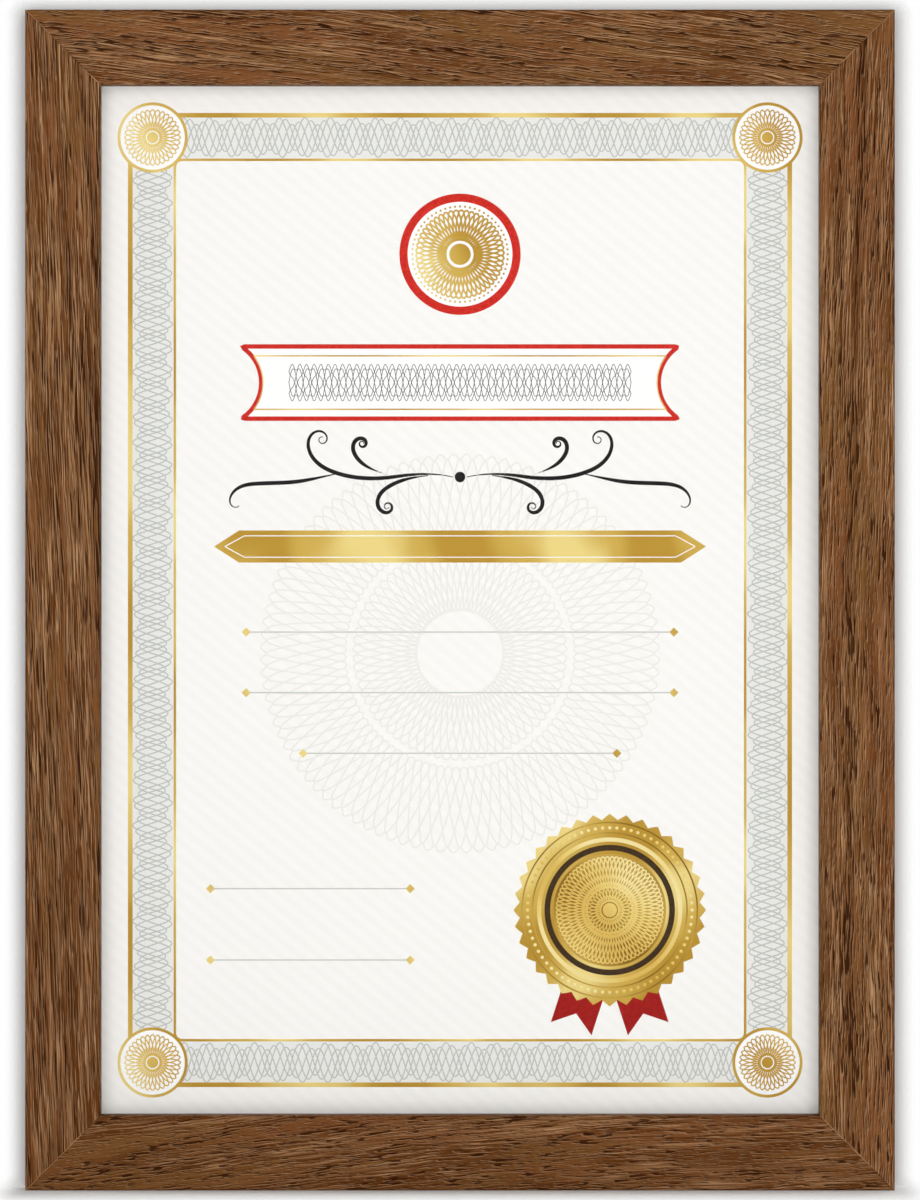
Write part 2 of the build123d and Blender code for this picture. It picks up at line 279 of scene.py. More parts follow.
# the drawn section, swept straight up z in even steps
def sweptStraight(given, end, steps, caps):
    profile = geoNode("MeshToCurve", {0: given["Geometry"]})[0]
    run = geoNode("CurvePrimitiveLine", {1: end})[0]
    run = geoNode("ResampleCurve", {0: run, "Count": steps})[0]
    return geoNode("CurveToMesh", {0: run, 1: profile, "Fill Caps": caps})[0]


# the drawn line as a path of even points that keeps upright what follows it
def evenPath(given):
    path = geoNode("MeshToCurve", {0: given["Geometry"]})[0]
    path = geoNode("ResampleCurve", {0: path, "Count": given["Points"]})[0]
    return geoNode("SetCurveNormal", {0: path}, mode="Z_UP")[0]


def nib(corners, radius, width, height):
    shape = geoNode("CurvePrimitiveCircle", {"Resolution": corners, "Radius": radius})[0]
    return geoNode("Transform", {0: shape, "Scale": joinXYZ(width, height, 1.0)})[0]


def storePart(geometry, name, value):
    inputs = {0: geometry, "Name": name, "Value": value}
    return geoNode("StoreNamedAttribute", inputs, data_type="FLOAT_VECTOR")[0]


# a tree grows from a line drawn in millimetres, and what it makes is kept as a plain mesh in its place
def grow(name, shaper, outline, values, place, closed=True, sharp=40):
    start = bpy.data.meshes.new(name + "Start")
    edges = [(i, i + 1) for i in range(len(outline) - 1)]
    if closed and len(outline) > 2:
        edges.append((len(outline) - 1, 0))
    start.from_pydata([(x * mm, y * mm, 0.0) for x, y in outline], edges, [])
    source = addObject(name + "Source", start)
    modifier = source.modifiers.new(shaper.name, "NODES")
    modifier.node_group = shaper
    for item in shaper.interface.items_tree:
        if item.in_out == "INPUT" and item.name in values:
            modifier[item.identifier] = values[item.name]
    seen = bpy.context.evaluated_depsgraph_get()
    mesh = bpy.data.meshes.new_from_object(source.evaluated_get(seen), preserve_all_data_layers=True,
                                           depsgraph=seen)
    bpy.data.objects.remove(source)
    mesh.name = name
    mesh.transform(place)
    return finishPiece(name, mesh, sharp)


# faces outwards, corners crisp, riding on the frame
def finishPiece(name, mesh, sharp=40):
    mesh.update()
    mesh.calc_loop_triangles()
    volume = 0.0
    for triangle in mesh.loop_triangles:
        a, b, c = (mesh.vertices[i].co for i in triangle.vertices)
        volume += a.dot(b.cross(c))
    if volume < 0:
        mesh.flip_normals()
    mesh.set_sharp_from_angle(angle=math.radians(sharp))
    piece = addObject(name, mesh)
    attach(piece, "frame")
    print("  ", name, len(mesh.loop_triangles), "triangles")
    return piece


# the four mouldings: one section, swept and mitred, its pores cut by the grain

moulding = {
    "face": 21.0, "wall": 16.0, "depth": 14.0, "lip": 8.2,
    "outerEase": 0.4, "innerEase": 0.8, "backEase": 0.3,
    "faceStep": 0.16, "sideStep": 0.45, "innerStep": 0.8, "backStep": 1.3, "alongStep": 0.85,
    "poreDepth": 0.09, "poredDepth": 0.9, "poredJoint": 0.6,
}

# how the figure of the wood wanders: noise turns for each millimetre across, deep and along
figure = {
    "swing": (0.045, 0.05, 0.013), "ripple": (0.3, 0.25, 0.1), "rippleShare": 0.24,
    "bandSwing": (0.03, 0.03, 0.016), "bandStretch": 0.012, "bandPores": (0.38, 0.62, -0.6, 1.0),
    "leastDepth": 0.35, "poreShade": 0.07, "streakShade": 0.22,
    "seedShift": 17.0, "grainSeed": 53.0, "bandSeed": 31.0,
}

# the tree's inputs for it, by what each moulding gives below
figureInputs = {
    "lean": ("First Lean", "Last Lean"), "wave": ("Wave",), "pore": ("Pore Width", "Pore Length"),
    "band": ("Band Width",), "bandLean": ("First Band Lean", "Last Band Lean"),
    "bandWave": ("Band Wave",), "cover": ("Cover",),
    "streak": ("Streak At", "Streak Width", "Streak Strength"),
    "shade": ("First Shade", "Last Shade"), "contrast": ("Contrast",), "fineness": ("Fineness",),
    "seed": ("Seed",),
}


def mouldingSection():
    face, wall, depth, lip = (moulding[key] for key in ("face", "wall", "depth", "lip"))
    outer, inner, back = (moulding[key] for key in ("outerEase", "innerEase", "backEase"))
    faceStep, sideStep, innerStep, backStep = (moulding[key + "Step"] for key in (
        "face", "side", "inner", "back"))

    def line(start, end, step):
        count = max(1, round(math.dist(start, end) / step))
        return [tuple(a + (b - a) * i / count for a, b in zip(start, end)) for i in range(count)]

    def arc(at, radius, first, steps=4):
        turns = [math.radians(first + 90 * i / steps) for i in range(steps)]
        return [(at[0] + radius * math.cos(turn), at[1] + radius * math.sin(turn)) for turn in turns]

    points = arc((outer, outer), outer, 180)
    points += line((outer, 0), (face - inner, 0), faceStep)
    points += arc((face - inner, inner), inner, 270)
    points += line((face, inner), (face, lip), innerStep)
    points += line((face, lip), (wall, lip), backStep)
    points += line((wall, lip), (wall, depth - back), backStep)
    points += arc((wall - back, depth - back), back, 0, 3)
    points += line((wall - back, depth), (back, depth), backStep)
    points += arc((back, depth - back), back, 90, 3)
    points += line((0, depth - back), (0, outer), sideStep)
    return points


def mouldingTree():
    sizes = ["Length", "Pore Depth"] + [label for labels in figureInputs.values() for label in labels]
    given = newTree("mitredMoulding", ["Rows"], sizes)
    end = joinXYZ(0.0, 0.0, given["Length"])
    swept = sweptStraight(given, end, given["Rows"], True)
    # the ends lean in as far as the section is wide: a mitre of 45 degrees
    here = geoNode("InputPosition")[0]
    across, depth, along = splitXYZ(here)
    share = over(along, given["Length"])
    shorter = timesPlus(across, -2.0, given["Length"])
    mitred = joinXYZ(across, depth, timesPlus(share, shorter, across))
    swept = geoNode("SetPosition", {0: swept, "Position": mitred})[0]
    # where each point lies on the rail, in millimetres
    inMm = vectorCalc("MULTIPLY", here, (1000.0, 1000.0, 1000.0))
    acrossMm, depthMm, alongMm = splitXYZ(inMm)
    lengthMm = times(given["Length"], 1000.0)
    toFirst = minus(alongMm, acrossMm)
    toLast = minus(minus(lengthMm, alongMm), acrossMm)
    joint = smaller(toFirst, toLast)
    shift = joinXYZ(times(given["Seed"], figure["seedShift"]), 0.0, 0.0)
    shifted = vectorCalc("ADD", inMm, shift)
    # the grain and the growth bands lean, by angles that change along the rail, and wander
    twiceLength = times(lengthMm, 2.0)

    def drift(first, last):
        change = over(minus(given[last], given[first]), twiceLength)
        return times(alongMm, timesPlus(alongMm, change, given[first]))

    def wander(size, amount):
        noise = cloud(vectorCalc("MULTIPLY", shifted, size))
        return times(minus(noise, 0.5), amount)

    ripple = wander(figure["ripple"], times(given["Wave"], figure["rippleShare"]))
    flow = plus(minus(acrossMm, drift("First Lean", "Last Lean")),
                plus(wander(figure["swing"], given["Wave"]), ripple))
    bandFlow = plus(minus(acrossMm, drift("First Band Lean", "Last Band Lean")),
                    wander(figure["bandSwing"], given["Band Wave"]))
    fromStreak = sizeOf(minus(flow, given["Streak At"]))
    streak = times(spread(fromStreak, given["Streak Width"], 0.0), given["Streak Strength"])
    flow = timesPlus(given["Seed"], figure["grainSeed"], flow)
    bandFlow = timesPlus(given["Seed"], figure["bandSeed"], bandFlow)
    deep = larger(depthMm, figure["leastDepth"])
    fineness, poreWidth, bandWidth = (given[name] for name in ("Fineness", "Pore Width", "Band Width"))
    board = joinXYZ(times(flow, fineness), times(deep, fineness), alongMm)
    grain = joinXYZ(over(flow, poreWidth), over(deep, poreWidth), over(alongMm, given["Pore Length"]))
    bands = joinXYZ(over(bandFlow, bandWidth), over(deep, bandWidth),
                    times(alongMm, figure["bandStretch"]))
    porous = spread(cloud(bands), *figure["bandPores"])
    porous = plus(plus(porous, given["Cover"]), streak)
    shadeChange = minus(given["Last Shade"], given["First Shade"])
    shade = timesPlus(share, shadeChange, given["First Shade"])
    shade = timesPlus(streak, figure["streakShade"], shade)
    shade = timesPlus(porous, figure["poreShade"], shade)
    kept = storePart(swept, "place", joinXYZ(acrossMm, depthMm, joint))
    kept = storePart(kept, "board", board)
    kept = storePart(kept, "grain", grain)
    kept = storePart(kept, "figure", joinXYZ(porous, shade, given["Contrast"]))
    # pores are cut only where the mesh is fine: face, outer side and sight edge
    cut = times(oakPores(grain, porous), given["Pore Depth"])
    shows = times(below(depthMm, moulding["poredDepth"]),
                  spread(joint, 0.0, moulding["poredJoint"]))
    normal = geoNode("InputNormal")[0]
    inward = scaled(normal, times(times(cut, shows), -1.0))
    pored = geoNode("SetPosition", {0: kept, "Offset": inward})[0]
    return endTree(pored, given["Material"])


# local x goes from the outer edge to the sheet, y to the back, z along the run
rails = {
    "top": {"length": wide, "place": ((0, 0, 1, -half), (0, 1, 0, front), (-1, 0, 0, high)),
            "lean": (0.11, 0.165), "wave": 3.0, "pore": (0.44, 6.2), "band": 3.0,
            "bandLean": (0.12, 0.2), "bandWave": 8.0, "cover": 0.42, "streak": (-9.0, 1.0, 0.0),
            "shade": (0.1, 0.02), "contrast": 1.15, "fineness": 1.0, "seed": 1.0},
    "bottom": {"length": wide, "place": ((0, 0, 1, -half), (0, 1, 0, front), (1, 0, 0, 0)),
               "lean": (0.15, 0.02), "wave": 3.5, "pore": (0.46, 4.8), "band": 3.4,
               "bandLean": (0.28, 0.12), "bandWave": 9.0, "cover": 0.4, "streak": (-30.0, 1.0, 0.0),
               "shade": (0.34, 0.3), "contrast": 1.3, "fineness": 1.0, "seed": 2.0},
    "left": {"length": high, "place": ((1, 0, 0, -half), (0, 1, 0, front), (0, 0, 1, 0)),
             "lean": (-0.035, -0.03), "wave": 1.6, "pore": (0.4, 14.0), "band": 2.2,
             "bandLean": (-0.05, -0.05), "bandWave": 4.0, "cover": 0.68, "streak": (27.0, 3.0, 1.1),
             "shade": (0.3, 0.0), "contrast": 3.0, "fineness": 1.1, "seed": 3.0},
    "right": {"length": high, "place": ((-1, 0, 0, half), (0, 1, 0, front), (0, 0, 1, 0)),
              "lean": (0.02, -0.045), "wave": 3.0, "pore": (0.42, 7.6), "band": 3.0,
              "bandLean": (0.6, -0.15), "bandWave": 9.0, "cover": 0.35, "streak": (12.0, 2.8, 1.4),
              "shade": (0.04, 0.08), "contrast": 1.35, "fineness": 1.05, "seed": 4.0},
}

print("mouldings")
section = mouldingSection()
sweepRail = mouldingTree()
for side, rail in rails.items():
    values = {"Length": rail["length"], "Rows": round(rail["length"] / mm / moulding["alongStep"]),
              "Pore Depth": moulding["poreDepth"] * mm, "Material": stainedOak}
    for key, labels in figureInputs.items():
        values.update(zip(labels, rail[key] if len(labels) > 1 else (rail[key],)))
    place = Matrix(rail["place"] + ((0, 0, 0, 1),))
    piece = grow("oak_moulding_" + side, sweepRail, section, values, place, sharp=70)
    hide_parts("rail_" + side)


# glass

glass = {"Base Color": tint(254, 254, 254), "Roughness": 0.0, "IOR": 1.5, "Transmission Weight": 1.0,
         "Specular Tint": (0.45, 0.45, 0.45, 1.0)}


def makeGlass():
    material = newMaterial("clearGlass", glass)
    light = shaderNode("LightPath")
    passes = larger(light["Is Shadow Ray"], light["Is Diffuse Ray"])
    clear = shaderNode("BsdfTransparent")[0]
    pane = tree.nodes["Principled BSDF"].outputs[0]
    showSurface(mixSurface(passes, pane, clear))
    return material


def dress(material, *names):
    for name in names:
        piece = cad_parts[name]
        if not piece.material_slots:
            piece.data.materials.append(material)
        for slot in piece.material_slots:
            slot.material = material


dress(makeGlass(), "glass_pane")

# the card and what is printed on it

card = {
    "paper": tint(249, 248, 245), "stripe": tint(243, 242, 238), "stripeAcross": 5.4, "stripeUp": 4.4,
    "stripeShare": (0.1, 0.4, 0.5), "band": tint(232, 233, 230), "bandOuter": (92.5, 136.0),
    "bandInner": (80.0, 123.5), "fibre": (2.5, 3.0, 0.6), "fibreShare": (0.3, 0.7, 0.12),
    "roughness": (0.2, 0.8, 0.5, 0.7), "relief": (0.01, 0.5),
}
middle = (0.0, 165.0)


def makeCard():
    material = newMaterial("printedCard")
    place = placeIn()
    x, y, z = splitXYZ(place)
    fromMiddle = minus(z, middle[1])
    slant = plus(over(x, card["stripeAcross"]), over(z, card["stripeUp"]))
    stripe = toAndFro(slant, 0.5)
    paper = layOver(card["paper"], card["stripe"], stripe, *card["stripeShare"])

    def inside(size):
        outX = minus(sizeOf(x), size[0])
        outZ = minus(sizeOf(fromMiddle), size[1])
        return below(larger(outX, outZ), 0.0)

    band = minus(inside(card["bandOuter"]), inside(card["bandInner"]))
    paper = mixTint(band, paper, card["band"])
    fibre = cloud(place, *card["fibre"])
    paper = layOver(paper, card["stripe"], fibre, *card["fibreShare"])
    return coat(material, paper, spread(fibre, *card["roughness"]), fibre, *card["relief"])


dress(makeCard(), "certificate_sheet")


ink = {"specular": 0.2, "mottle": (1.6, 2.0, 0.6), "lighter": (0.35, 0.7, 0.6), "relief": (0.01, 0.4)}
# the colour, the lighter one that it is mottled with, and the roughness
inks = {
    "greyInk": (tint(186, 189, 184), tint(202, 204, 200), 0.45),
    "paleInk": (tint(233, 232, 227), tint(239, 238, 233), 0.45),
    "blackInk": (tint(26, 24, 24), tint(44, 41, 40), 0.4),
    "redInk": (tint(196, 30, 22), tint(226, 58, 40), 0.4),
    "whiteInk": (tint(253, 253, 252), tint(248, 248, 246), 0.45),
    "ribbonRed": (tint(150, 18, 16), tint(178, 34, 26), 0.35),
    "darkFoil": (tint(58, 42, 26), tint(78, 58, 36), 0.35),
}


def makeInk(name):
    colour, lighter, roughness = inks[name]
    material = newMaterial(name, {"Specular IOR Level": ink["specular"]})
    mottle = cloud(placeIn(), *ink["mottle"])
    colour = layOver(colour, lighter, mottle, *ink["lighter"])
    return coat(material, colour, roughness, mottle, *ink["relief"])


# foil is printed in soft slanting bands from deep to pale gold, a painted sheen that stands in for its
# reflections
foil = {"metallic": 0.25, "roughness": 0.32, "drift": 0.05, "middle": (0.1, 0.5), "pale": (0.5, 0.95),
        "grit": (6.0, 2.0, 0.6), "gritShare": (0.55, 0.75, 0.2), "relief": (0.01, 0.5)}
yellowGold = (tint(197, 154, 50), tint(219, 182, 82), tint(248, 225, 140))
# how wide the bands are, their slant in degrees, and the deep, middle and pale shades
golds = {
    "goldFoil": (46.0, 30, yellowGold),
    "sealGold": (34.0, -45, yellowGold),
    "sealFieldAndShade": (27.0, 45, (tint(150, 112, 30), tint(182, 142, 50), tint(208, 170, 76))),
    "paintedHighlightGold": (40.0, 45, (tint(230, 194, 98), tint(244, 216, 126), tint(254, 238, 172))),
}


def makeGold(name):
    width, slant, (deep, middling, pale) = golds[name]
    material = newMaterial(name, {"Metallic": foil["metallic"]})
    place = placeIn(turn=(0.0, math.radians(slant), 0.0))
    # the slanting bands of deep and pale gold are a painted sheen
    wave = toAndFro(over(splitXYZ(place)[0], width), 0.5)
    drift = minus(cloud(place, foil["drift"]), 0.5)
    wave = plus(times(wave, 2.0), drift)
    colour = layOver(deep, middling, wave, *foil["middle"])
    colour = layOver(colour, pale, wave, *foil["pale"])
    grit = cloud(place, *foil["grit"])
    colour = layOver(colour, deep, grit, *foil["gritShare"])
    return coat(material, colour, foil["roughness"], grit, *foil["relief"])


goldFoil, sealGold, fieldAndShadeGold, paintedHighlightGold = (makeGold(name) for name in golds)
greyInk, paleInk, blackInk, redInk, whiteInk, ribbonRed, darkFoil = (makeInk(name) for name in inks)

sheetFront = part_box("certificate_sheet")[0][1]


# print lies on the card's face: local x and y are its width and height, z comes forward
def onCard(x=0.0, z=0.0, lift=0.0, turn=0.0):
    lay = Matrix.Translation((x * mm, sheetFront - lift * mm, z * mm))
    return lay @ Matrix.Rotation(quarterTurn, 4, "X") @ Matrix.Rotation(math.radians(turn), 4, "Z")


def circle(radius, steps=96):
    turns = [2 * math.pi * i / steps for i in range(steps)]
    return [(radius * math.cos(turn), radius * math.sin(turn)) for turn in turns]


def roundedBox(width, height, corner, steps=8):
    points = []
    for quarter, (sx, sy) in enumerate(((1, 1), (-1, 1), (-1, -1), (1, -1))):
        for step in range(steps + 1):
            turn = math.radians(90 * quarter + 90 * step / steps)
            points.append((sx * (width / 2 - corner) + corner * math.cos(turn),
                           sy * (height / 2 - corner) + corner * math.sin(turn)))
    return points


# fine lines that weave to and fro across the drawn line they follow
def woveTree():
    given = newTree("wovenLine", ["Points", "Strands"], [
        "Waves", "Swing", "Second Waves", "Second Swing", "Line Width", "Line Height"])
    inputs = {0: evenPath(given), "Amount": given["Strands"]}
    copies = geoNode("DuplicateElements", inputs, domain="SPLINE")
    way = geoNode("SplineParameter")["Factor"]
    phase = over(copies["Duplicate Index"], given["Strands"])

    def swingOf(turns, reach):
        return times(sine(times(turns, 2 * math.pi)), reach)

    first = swingOf(plus(times(way, given["Waves"]), phase), given["Swing"])
    second = swingOf(minus(times(way, given["Second Waves"]), phase), given["Second Swing"])
    normal = geoNode("InputNormal")[0]
    offset = scaled(normal, plus(first, second))
    woven = geoNode("SetPosition", {0: copies[0], "Offset": offset})[0]
    # the line's section is a low ridge
    ridge = nib(4, 1.0, times(given["Line Width"], 0.5), given["Line Height"])
    lines = geoNode("CurveToMesh", {0: woven, 1: ridge, "Fill Caps": True})[0]
    return endTree(lines, given["Material"], False)


weave = woveTree()


def wovenLine(name, outline, place, material, width, height=0.04, points=900, strands=1, waves=0.0,
              swing=0.0, secondWaves=0.0, secondSwing=0.0):
    return grow(name, weave, outline, {
        "Points": points, "Strands": strands, "Waves": waves, "Swing": swing * mm,
        "Second Waves": secondWaves, "Second Swing": secondSwing * mm, "Line Width": width * mm,
        "Line Height": height * mm, "Material": material}, place, sharp=20)


def wovenRound(name, place, material, radius, **line):
    return wovenLine(name, circle(radius), place, material, **line)


toothRoot = 0.93  # teeth are cut into what lies further out than this share of the radius


# a drawn section (radius, height) is swept and bent round, with teeth at its rim if it has any
def discTree():
    given = newTree("turnedDisc", ["Steps"], ["Radius", "Teeth", "Tooth Depth"])
    steps = plus(given["Steps"], 1.0)
    swept = sweptStraight(given, (0.0, 0.0, 1.0), steps, False)
    radius, height, share = splitXYZ(geoNode("InputPosition")[0])
    turn = times(share, 2 * math.pi)
    tooth = toAndFro(times(share, given["Teeth"]), 0.5)
    rim = above(radius, times(given["Radius"], toothRoot))
    pull = times(times(tooth, rim), times(given["Tooth Depth"], 2.0))
    radius = minus(radius, pull)
    bent = joinXYZ(times(radius, cosine(turn)), times(radius, sine(turn)), height)
    disc = geoNode("SetPosition", {0: swept, "Position": bent})[0]
    disc = geoNode("MergeByDistance", {0: disc, "Distance": 0.01 * mm})[0]
    return endTree(disc, given["Material"])


turnDisc = discTree()


def turnedDisc(name, section, place, material, steps, teeth=0.0, toothDepth=0.0):
    return grow(name, turnDisc, section, {
        "Steps": steps, "Radius": section[-2][0] * mm, "Teeth": teeth, "Tooth Depth": toothDepth * mm,
        "Material": material}, place, closed=False, sharp=35)


# sections of a flat disc, a ring and a domed stud
def discOf(radius, low, top):
    return [(0, top), (radius, top), (radius, low), (0, low)]


def ringOf(inner, outer, low, top):
    return [(inner, low), (inner, top), (outer, top), (outer, low), (inner, low)]


def studOf(radius, shoulder, top):
    return [(0, top), (shoulder, 0.1), (radius, 0.02), (radius, 0), (0, 0)]


# a pen line that swells and thins along its way
def penTree():
    given = newTree("penStroke", ["Points"], ["Swells", "Thin", "Line Width", "Line Height"])
    way = geoNode("SplineParameter")["Factor"]
    swell = sine(times(times(way, given["Swells"]), math.pi))
    swell = spread(sizeOf(swell), 0.0, 1.0, given["Thin"], 1.0)
    tip = nib(6, 0.5, given["Line Width"], given["Line Height"])
    inputs = {0: evenPath(given), 1: tip, "Scale": swell, "Fill Caps": True}
    return endTree(geoNode("CurveToMesh", inputs)[0], given["Material"])


stroke = penTree()


# a pen path from runs of (length, first bend, last bend), bends in degrees per millimetre
def scroll(x, y, heading, runs, mirror, step=0.25):
    points, angle = [(x * mirror, y)], math.radians(heading)
    for length, first, last in runs:
        count = round(length / step)
        for i in range(count):
            angle += math.radians(first + (last - first) * (i + 0.5) / count) * step
            x, y = x + step * math.cos(angle), y + step * math.sin(angle)
            points.append((x * mirror, y))
    return points


def penStroke(name, points, place, material, width, swells, thin, height=0.08):
    return grow(name, stroke, points, {
        "Points": len(points), "Swells": swells, "Thin": thin, "Line Width": width * mm,
        "Line Height": height * mm, "Material": material}, place, closed=False)


# a flat printed or foiled shape, cut to an outline
def plate(name, outline, place, material, thickness=0.05):
    count = len(outline)
    low = [(x * mm, y * mm, 0.0) for x, y in outline]
    top = [(x, y, thickness * mm) for x, y, z in low]
    sides = [(i, (i + 1) % count, count + (i + 1) % count, count + i) for i in range(count)]
    mesh = bpy.data.meshes.new(name)
    mesh.from_pydata(low + top, [], [tuple(range(count))[::-1], tuple(range(count, 2 * count))] + sides)
    mesh.materials.append(material)
    mesh.transform(place)
    return finishPiece(name, mesh)


# small domes set round a ring
def beadTree():
    given = newTree("beadRing", ["Count"], ["Radius", "Bead", "Height"])
    ring = geoNode("MeshCircle", {"Vertices": given["Count"], "Radius": given["Radius"]})[0]
    dome = geoNode("MeshUVSphere", {"Segments": 8, "Rings": 6, "Radius": 1.0})[0]
    size = joinXYZ(given["Bead"], given["Bead"], given["Height"])
    beads = geoNode("InstanceOnPoints", {"Points": ring, "Instance": dome, "Scale": size})[0]
    return endTree(beads, given["Material"])


beadRound = beadTree()


def beadRing(name, place, material, count, radius, bead, height):
    return grow(name, beadRound, [(0.0, 0.0)], {
        "Count": count, "Radius": radius * mm, "Bead": bead * mm, "Height": height * mm,
        "Material": material}, place)


print("border of the print")
border = {
    # width, height and corner radius of each line's path, then the lines
    "outer": (185.0, 272.0, 3.0), "inner": (160.0, 247.0, 2.0), "middle": (172.5, 259.5, 2.5),
    "outerRule": dict(width=1.3, height=0.05), "innerRule": dict(width=0.7, height=0.05),
    "weave": dict(width=0.36, height=0.03, points=2400, strands=5, waves=96.0, swing=4.6,
                  secondWaves=32.0, secondSwing=1.0),
}
for rule in ("outer", "inner"):
    wovenLine("border_" + rule + "_rule", roundedBox(*border[rule]), onCard(*middle), goldFoil,
              **border[rule + "Rule"])
wovenLine("border_weave", roundedBox(*border["middle"]), onCard(*middle), greyInk, **border["weave"])

corner = {
    "at": {"upper_left": (-86.25, 129.75), "upper_right": (86.25, 129.75),
           "lower_left": (-86.25, -129.75), "lower_right": (86.25, -129.75)},
    "field": 9.6, "fieldHigh": 0.06, "lineLift": 0.05, "stud": (1.6, 1.0, 0.12),
    "ring": dict(radius=9.4, width=0.9, height=0.05, points=180),
    "rosette": dict(radius=4.9, width=0.42, height=0.06, points=480, strands=4, waves=8.0, swing=2.9),
}
for cornerName, (x, z) in corner["at"].items():
    spot = (x, middle[1] + z)
    plate("corner_field_" + cornerName, circle(corner["field"]), onCard(*spot), whiteInk,
          corner["fieldHigh"])
    for line in ("ring", "rosette"):
        wovenRound("corner_" + line + "_" + cornerName, onCard(*spot, corner["lineLift"]), goldFoil,
                   **corner[line])
    turnedDisc("corner_stud_" + cornerName, studOf(*corner["stud"]), onCard(*spot, corner["fieldHigh"]),
               goldFoil, steps=32)

print("face of the print")
# faint rosette in the middle
watermark = {
    "outer": dict(radius=44.0, width=0.42, height=0.012, points=1500, strands=6, waves=16.0, swing=12.0),
    "inner": dict(radius=21.0, width=0.42, height=0.016, points=1000, strands=6, waves=12.0, swing=9.0),
}
for line, values in watermark.items():
    wovenRound("watermark_" + line, onCard(0.0, 150.0), paleInk, **values)

# round badge with a red rim
badge = {
    "at": (0.0, 262.0), "radius": 17.0, "field": 14.7, "fieldHigh": 0.06, "rimHigh": 0.08,
    "rimEase": 0.1, "steps": 120, "beads": dict(count=60, radius=13.4, bead=0.34, height=0.1),
    "rosette": dict(radius=8.2, width=0.5, height=0.05, points=900, strands=5, waves=10.0, swing=4.2),
    "stud": (3.0, 2.2, 0.14),
}
badgeRim = ringOf(badge["field"], badge["radius"], 0, badge["rimHigh"])
badgeRim[2:3] = [(badge["radius"] - badge["rimEase"], badge["rimHigh"]),
                 (badge["radius"], badge["fieldHigh"])]
badgePlace, badgeFace = onCard(*badge["at"]), onCard(*badge["at"], badge["fieldHigh"])
turnedDisc("badge_field", discOf(badge["field"], 0, badge["fieldHigh"]), badgePlace, whiteInk,
           badge["steps"])
turnedDisc("badge_rim", badgeRim, badgePlace, redInk, badge["steps"])
wovenRound("badge_rosette", badgeFace, goldFoil, **badge["rosette"])
beadRing("badge_beads", badgeFace, goldFoil, **badge["beads"])
turnedDisc("badge_stud", studOf(*badge["stud"]), badgeFace, goldFoil, steps=48)


# a bar whose ends are hollowed
def hollowBar(width, height, bite, steps=14):
    outline = []
    for side in (1, -1):
        first = math.asin(height / 2 / bite)
        for i in range(steps + 1):
            turn = -first + 2 * first * i / steps
            hollow = bite * math.cos(turn) - bite * math.cos(first)
            outline.append((side * (width / 2 - hollow), side * bite * math.sin(turn)))
    return outline


def pointedBar(width, height, point):
    return [(width / 2, 0), (width / 2 - point, height / 2), (-width / 2 + point, height / 2),
            (-width / 2, 0), (-width / 2 + point, -height / 2), (width / 2 - point, -height / 2)]


title = {
    # width, height and radius of the hollowed ends
    "at": (0.0, 226.0), "field": (122.0, 20.0, 12.0), "inner": (116.0, 15.0, 12.0),
    "redRule": dict(width=1.5, height=0.06, points=600), "redLift": 0.03,
    "goldRule": dict(width=0.5, height=0.05, points=600), "lift": 0.04,
    "weaveHalf": 48.0, "weave": dict(width=0.26, height=0.03, points=1400, strands=6, waves=12.0,
                                     swing=4.4, secondWaves=36.0, secondSwing=0.9),
}
titleShape = hollowBar(*title["field"])
titleFace = onCard(*title["at"], title["lift"])
plate("title_field", titleShape, onCard(*title["at"]), whiteInk)
wovenLine("title_red_rule", titleShape, onCard(*title["at"], title["redLift"]), redInk,
          **title["redRule"])
wovenLine("title_gold_rule", hollowBar(*title["inner"]), titleFace, goldFoil, **title["goldRule"])
wovenLine("title_weave", [(-title["weaveHalf"], 0), (title["weaveHalf"], 0)], titleFace, blackInk,
          **title["weave"])

flourish = {
    # each stroke: where it starts, its heading in degrees, and its runs
    "main": (2.0, 0.0, 14, [(16, -2.2, -0.6), (18, 1.0, 2.2), (10, 2.5, 9), (9, 9, 28), (6, 28, 75)]),
    "under": (9.0, 0.4, -6, [(12, -0.5, -4), (8, -5, -22), (7, -22, -60), (2.0, -60, -120)]),
    "over": (22.0, 1.2, 18, [(9, 1, 8), (6, 8, 30), (6, 30, 75), (1.5, 75, 120)]),
    "tail": (34.0, 1.0, -10, [(12, -1, 1.5), (12, 1.5, -1), (8, -2, -14), (5, -14, -50)]),
}
flourishPlace = onCard(0.0, 199.5)
for strokeName, (x, y, heading, runs) in flourish.items():
    for sideName, mirror in (("left", -1), ("right", 1)):
        penStroke("flourish_" + strokeName + "_" + sideName, scroll(x, y, heading, runs, mirror),
                  flourishPlace, blackInk, width=1.15, swells=1.0, thin=0.22)
turnedDisc("flourish_drop", [(0, 0.07), (1.3, 0.06), (1.5, 0), (0, 0)], flourishPlace, blackInk, steps=32)

# width, height and length of the points
band = {"at": (0.0, 180.0), "foil": (138.0, 9.0, 7.0), "foilHigh": 0.06, "line": (132.0, 6.0, 5.5),
        "lineLift": 0.05}
plate("gold_band", pointedBar(*band["foil"]), onCard(*band["at"]), goldFoil, band["foilHigh"])
wovenLine("gold_band_line", pointedBar(*band["line"]), onCard(*band["at"], band["lineLift"]), whiteInk,
          width=0.35, height=0.04, points=600)

# left end, right end and height of each writing rule
writing = [(-60.0, 60.0, 156.0), (-60.0, 60.0, 139.0), (-44.0, 44.0, 122.0), (-70.0, -14.0, 84.0),
           (-70.0, -14.0, 64.0)]
for number, (left, right, z) in enumerate(writing, 1):
    wovenLine("writing_rule_%d" % number, [(left, 0), (right, 0)], onCard(0, z), greyInk, width=0.32,
              height=0.03, points=2)
    for endName, x in (("left", left), ("right", right)):
        turnedDisc("rule_stud_%d_%s" % (number, endName), [(0, 0.1), (1.3, 0.0), (0, 0)], onCard(x, z),
                   goldFoil, steps=4)

